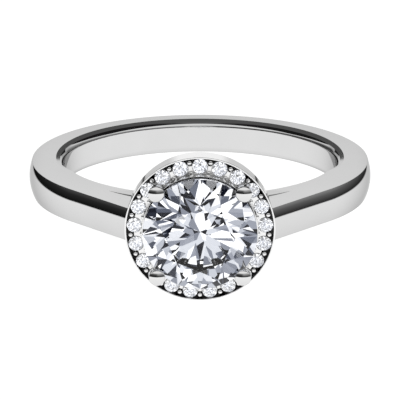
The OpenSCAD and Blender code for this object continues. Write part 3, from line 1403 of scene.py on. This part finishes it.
@dataclass
class Head:
    """The centre stone, its four prongs and the legs under them.

    Attributes:
        ring: The ring's frame.
        plan: Sizes of the head.
        rods: Tree that runs rods along paths.
        gold: Finish of the prongs and legs, a lighter copy of the band's white gold: painted light.
        diamond: Finish of the stone.
        rail_w: Width of the rail that the legs stand on.
        neck: Height above the halo's rim where a prong starts to swell.
        cap_lean: Slope in degrees at the border of a prong's low cap.
        cap_edge: Radius that rounds that border.
        cap_peak: Share of the cap's lean that is left at its middle, so that it has no empty face.
        foot_spread: How much wider than deep the legs stand.
        rod_sides: Sides of a prong or leg.
    """

    ring: RingFrame
    plan: HeadPlan
    rods: Rods
    gold: Material
    diamond: Material
    rail_w: float
    neck: float = 0.18
    cap_lean: float = 30.0
    cap_edge: float = 0.06
    cap_peak: float = 0.005
    foot_spread: float = 1.6
    rod_sides: int = 40

    def prong_path(self, angle: float, swell: int = 8, border_steps: int = 4,
                   dome: int = 12) -> list[tuple[Vector, float]]:
        """Lists a prong's axis: a post that swells and leans out into a tip with a low cap.

        Args:
            angle: The prong's angle round the head.
            swell: Steps in the swelling.
            border_steps: Steps in the cap's rounded border.
            dome: Steps in the cap.

        Returns:
            Points of the axis and the radius at each.
        """
        p = self.plan
        low, high = p.rim_h + self.neck, p.girdle_h + p.prong_up
        stations = [(p.post_ring, p.post_foot_h, p.post_r)]
        for k in range(swell):
            ease = (k / swell) ** 2 * (3 - 2 * k / swell)
            stations.append((p.post_ring + (p.tip_ring - p.post_ring) * ease, low + (high - low) * k / swell,
                             p.post_r + (p.prong_tip_r - p.post_r) * ease))
        lean = math.radians(self.cap_lean)
        border = p.prong_tip_r - self.cap_edge
        curve = border / math.sin(lean) + self.cap_edge
        top = high + p.prong_tip_r
        round_h = top - curve + (curve - self.cap_edge) * math.cos(lean)
        for k in range(border_steps + 1):
            a = math.pi / 2 - (math.pi / 2 - lean) * k / border_steps
            stations.append((p.tip_ring, round_h + self.cap_edge * math.cos(a),
                             border + self.cap_edge * math.sin(a)))
        for k in range(1, dome + 1):
            a = lean * max(1 - k / dome, self.cap_peak)
            stations.append((p.tip_ring, top - curve * (1 - math.cos(a)), curve * math.sin(a)))
        return [(Vector((r * math.cos(angle), r * math.sin(angle), h)), thick) for r, h, thick in stations]

    def leg_path(self, angle: float) -> list[tuple[Vector, float]]:
        """Lists a leg's axis, from inside the rail up to inside the halo's floor.

        Args:
            angle: The leg's angle round the head.

        Returns:
            Points of the axis and the radius at each.
        """
        p = self.plan
        deep = self.rail_w / 2 - p.leg_inset - p.leg_r
        foot = Vector((math.copysign(self.foot_spread * deep, math.cos(angle)),
                       math.copysign(deep, math.sin(angle)), p.rail_top - p.leg_sink))
        top = Vector((p.post_ring * math.cos(angle), p.post_ring * math.sin(angle), p.leg_end_h))
        return [(foot, p.leg_r), (top, p.leg_r)]

    def build(self) -> None:
        """Makes and dresses the centre stone, the prongs and the legs."""
        head = self.ring.head()
        stone = self.plan.cut.mesh("round_brilliant", self.plan.center_d)
        lift = Matrix.Translation((0.0, 0.0, self.plan.girdle_h))
        Piece(stone, head @ lift).dress(Slot.STONE, [self.diamond], CENTER_STONE)
        for name, path in (("prongs", self.prong_path), ("legs", self.leg_path)):
            paths = [path(angle) for angle in self.plan.corners()]
            rods = self.rods.along(name, paths, self.rod_sides, self.gold)
            Piece(rods, head).dress(Slot.METAL, [self.gold], MOUNTING)


@dataclass(frozen=True)
class LightTent:
    """The light tent that the metal mirrors.

    It is white below, with a dark opening in front and at the sides, light panels above that and
    behind the ring, and a dark cover overhead. A stop is an elevation in degrees and a grey. A
    place is a part of a direction in the ring's upright frame, where X runs to the right, Y to
    the back and Z up. A span is where one thing gives way to the next.

    Attributes:
        horizon: Elevation where the white below ends, in degrees.
        soft: Half of the width of that change.
        below: Stops of the white below.
        brim: Its grey at the horizon.
        left: Greys of the opening's left part at each of the rungs.
        right: The same for its right part.
        rungs: Elevations in the opening, after the horizon.
        above: Stops of the panel above the opening.
        back: Grey of the panel behind the ring.
        side: Grey of the panels beside that one.
        side_low: Their grey at the horizon.
        disc: Grey of the round panel behind them.
        middle: Span in X from the left part to the right.
        to_side: Span in the level direction to the back, from the opening to the side panels.
        to_disc: Span in Y from them to the round panel.
        to_back: Span in the level direction to the panel behind the ring.
        cards_x: Span in X, on either side, where two dark cards behind the ring begin.
        cards_z: Span in Z where they begin.
        cards_y: Place in Y behind which they stand.
        card: Their grey.
        cover: Place in Z where the cover begins behind the ring.
        cover_front: How much higher it begins in front.
        cover_soft: Half of the width of its edge.
        notch: Span in X of a notch where it begins lower.
        notch_drop: How much lower.
        cover_stops: The cover's greys, by place in X.
    """

    horizon: float = -7.0
    soft: float = 0.6
    below: tuple[Span, ...] = ((-90.0, 0.92), (-40.0, 0.96))
    brim: float = 1.02
    left: tuple[float, ...] = (0.006, 0.025, 0.09, 0.17)
    right: tuple[float, ...] = (0.02, 0.13, 0.33, 0.4)
    rungs: tuple[float, ...] = (4.0, 12.0, 17.0)
    above: tuple[Span, ...] = ((24.0, 0.85), (32.0, 0.92), (56.0, 0.8), (90.0, 0.8))
    back: float = 1.15
    side: float = 0.62
    side_low: float = 0.58
    disc: float = 0.8
    middle: Span = (-0.2, 0.2)
    to_side: Span = (0.86, 0.94)
    to_disc: Span = (0.962, 0.97)
    to_back: Span = (0.978, 0.99)
    cards_x: Span = (0.16, 0.17)
    cards_z: Span = (0.185, 0.195)
    cards_y: float = 0.9
    card: float = 0.03
    cover: float = 0.46
    cover_front: float = 0.41
    cover_soft: float = 0.01
    notch: Span = (0.06, 0.05)
    notch_drop: float = 0.2
    cover_stops: tuple[Span, Span] = ((0.1, 0.12), (0.34, 0.012))

    def colour(self, nt: NodeTree, own: Value) -> Value:
        """Adds the tent.

        Args:
            nt: The world's tree.
            own: Direction in the ring's upright frame.

        Returns:
            The tent's colour.
        """
        x, y, z = nt.axes(own)
        height = nt.math("ARCSINE", z) / math.pi + 0.5
        low = (*self.below, (self.horizon - self.soft, self.brim))
        top = self.horizon + self.soft
        places = (top, *self.rungs)
        left, right, side, back, disc = (
            nt.ramp(height, [(0.5 + degrees / 180, (grey,) * 3) for degrees, grey in (*low, *stops)])
            for stops in (
                (*zip(places, self.left), *self.above), (*zip(places, self.right), *self.above),
                ((top, self.side_low), (0.0, self.side), (90.0, self.side)),
                ((0.0, self.back), (90.0, self.back)), ((0.0, self.disc), (90.0, self.disc)),
            )
        )
        towards = y / (1 - z * z).root().at_least(LEAST_DIVISOR)
        panels = nt.blend(nt.rise(x, *self.middle), left, right)
        panels = nt.blend(nt.rise(towards, *self.to_side), panels, side)
        panels = nt.blend(nt.rise(y, *self.to_disc), panels, disc)
        panels = nt.blend(nt.rise(towards, *self.to_back), panels, back)
        cards = nt.rise(x.size(), *self.cards_x) * nt.rise(z, *self.cards_z) * y.above(self.cards_y)
        panels = nt.blend(cards, panels, (self.card, self.card, self.card, 1.0))
        notch = nt.rise(x.size(), *self.notch) * y.above(0.0)
        edge = z - self.cover - (0 - towards).at_least(0.0) * self.cover_front + notch * self.notch_drop
        cover = nt.ramp(x.size(), [(place, (grey,) * 3) for place, grey in self.cover_stops])
        return nt.blend(nt.rise(edge, -self.cover_soft, self.cover_soft), panels, cover)


@dataclass(frozen=True)
class Sparkle:
    """The pattern of lamps and grey and dark cards that the stones gather.

    Attributes:
        cell: Number of cards across a unit of direction.
        shift: Which part of the pattern is used.
        stops: Colours of the cards, from lamps to black, by their share.
    """

    cell: float = 3.8
    shift: Triple = (14.4, 29.8, 23.6)
    stops: tuple[tuple[float, Triple], ...] = (
        (0.0, (1.6, 1.6, 1.6)), (0.22, (1.1, 1.1, 1.12)), (0.34, (0.76, 0.785, 0.84)),
        (0.52, (0.35, 0.37, 0.43)), (0.7, (0.1, 0.115, 0.16)), (0.85, (0.01, 0.012, 0.022)),
        (1.0, (0.0, 0.0, 0.004)),
    )

    def colour(self, nt: NodeTree, own: Value) -> Value:
        """Adds the pattern.

        Args:
            nt: The world's tree.
            own: Direction in the ring's upright frame.

        Returns:
            The pattern's colour.
        """
        moved = nt.out("ShaderNodeVectorMath", {0: own, 1: self.shift}, operation="ADD")
        cards = nt.out("ShaderNodeTexVoronoi", {"Vector": moved, "Scale": self.cell}, "Color")
        return nt.ramp(nt.out("ShaderNodeSeparateColor", {"Color": cards}), self.stops)


@dataclass
class Studio:
    """White floor, soft light all round and the camera at the photo's angle.

    Attributes:
        ring: The ring's frame.
        tent: Light that the metal mirrors.
        sparkle: Light that the stones gather.
        distance: From the finger hole's middle to the camera in mm.
        elevation: Height of the camera over the upright ring's own level, in degrees.
        pitch: How far the camera looks down, in degrees.
        focal_px: Focal length in pixels of the photo's frame.
        sensor: Sensor width in mm.
        nearest: Distance in metres inside which the camera sees nothing.
        floor_side: Side of the floor in metres.
    """

    ring: RingFrame
    tent: LightTent
    sparkle: Sparkle
    distance: float = 70.84
    elevation: float = 15.717
    pitch: float = 17.188
    focal_px: float = 1158.03
    sensor: float = 36.0
    nearest: float = 0.001
    floor_side: float = 3.0

    def camera(self) -> None:
        """Places the camera as it stands to the upright ring."""
        e, p = math.radians(self.elevation), math.radians(self.pitch)
        turn = self.ring.turn().to_3x3()
        ahead = turn @ Vector((0.0, math.cos(p), -math.sin(p)))
        up = turn @ Vector((0.0, math.sin(p), math.cos(p)))
        data = bpy.data.cameras.new("camera")
        data.sensor_width = self.sensor
        data.lens = self.focal_px / PHOTO_SIDE * self.sensor
        data.clip_start = self.nearest
        cam = bpy.data.objects.new("camera", data)
        cam.matrix_world = Matrix((ahead.cross(up), up, -ahead)).transposed().to_4x4()
        cam.location = turn @ Vector((0.0, -math.cos(e), math.sin(e))) * self.distance * MM
        bpy.context.scene.collection.objects.link(cam)
        bpy.context.scene.camera = cam

    def floor(self) -> None:
        """Lays the floor under the ring; the metal and the stones mirror the light alone."""
        side, low = self.floor_side / 2, CAD_BOX[0].z
        corners = [(-side, -side, low), (side, -side, low), (side, side, low), (-side, side, low)]
        mesh = plain_mesh("floor", corners, faces=[(0, 1, 2, 3)])
        mesh.materials.append(WhitePaper().material())
        obj = bpy.data.objects.new("floor", mesh)
        obj.visible_glossy = False
        obj.visible_transmission = False
        bpy.context.scene.collection.objects.link(obj)

    def light(self) -> None:
        """Builds the soft light, with a plain white backdrop behind it."""
        world = bpy.data.worlds.new("studio")
        bpy.context.scene.world = world
        world.use_nodes = True
        world.node_tree.nodes.clear()
        nt = NodeTree(world.node_tree)
        facing = {"Vector": nt.out("ShaderNodeTexCoord", output="Generated"), "Angle": self.ring.tilt}
        own = nt.out("ShaderNodeVectorRotate", facing, rotation_type="X_AXIS")
        in_stone = nt.out("ShaderNodeLightPath", output="Is Transmission Ray")
        seen = nt.out("ShaderNodeLightPath", output="Is Camera Ray")
        lit = nt.blend(in_stone, self.tent.colour(nt, own), self.sparkle.colour(nt, own))
        shader = nt.out("ShaderNodeBackground", {"Color": nt.blend(seen, lit, WHITE)})
        nt.add("ShaderNodeOutputWorld", {"Surface": shader})
        bpy.context.scene.view_settings.view_transform = "Standard"

    def build(self) -> None:
        """Sets up the studio."""
        self.camera()
        self.floor()
        self.light()


def write_sizes() -> None:
    bpy.context.view_layer.update()


def main() -> None:
    """Builds the ring and its studio."""
    logging.basicConfig(level=logging.INFO)
    ring = RingFrame.from_record(frame["record"])
    Studio(ring, LightTent(), Sparkle()).build()
    gold = PolishedGold("polished_white_gold").material()
    # Lighter copy of the band's white gold: painted light on the halo's shaded metal.
    cup = PolishedGold("halo_white_gold", grey=0.95, edge=0.75).material()
    # Lighter copy of the white gold, brighter at its edges too: painted light on the setting beads.
    painted_light_bead_gold = PolishedGold("bead_white_gold", grey=0.95, edge=0.95, roughness=0.12).material()
    # Lighter copy of the white gold, brighter at its edges too: painted light between the stones.
    web = PolishedGold("web_white_gold", grey=0.95, edge=0.95, roughness=0.16).material()
    # Near-black copy of the white gold: painted shade for the recesses between the stones.
    painted_shade = PolishedGold("recess_white_gold", grey=0.05, edge=0.06, roughness=0.3).material()
    # Lighter copy of the band's white gold: painted light on the prongs and legs.
    tips = PolishedGold("prong_white_gold", grey=0.82, edge=0.7).material()
    diamond = ClearDiamond("diamond").material()
    # The small stones glow faintly: painted light for their sparkle.
    small_diamond = ClearDiamond("small_diamond", glow=0.05).material()
    band = Band(ring, gold, BandSweep())
    plan = HeadPlan(BrilliantCut(), band.rail_top)
    band.build(plan.arm_end_h)
    Halo(ring, plan, Lathe(), RoundArray(), cup, painted_light_bead_gold, web, painted_shade, small_diamond).build()
    Head(ring, plan, Rods(), tips, diamond, band.rail_w).build()
    write_sizes()


if __name__ == "__main__":
    main()
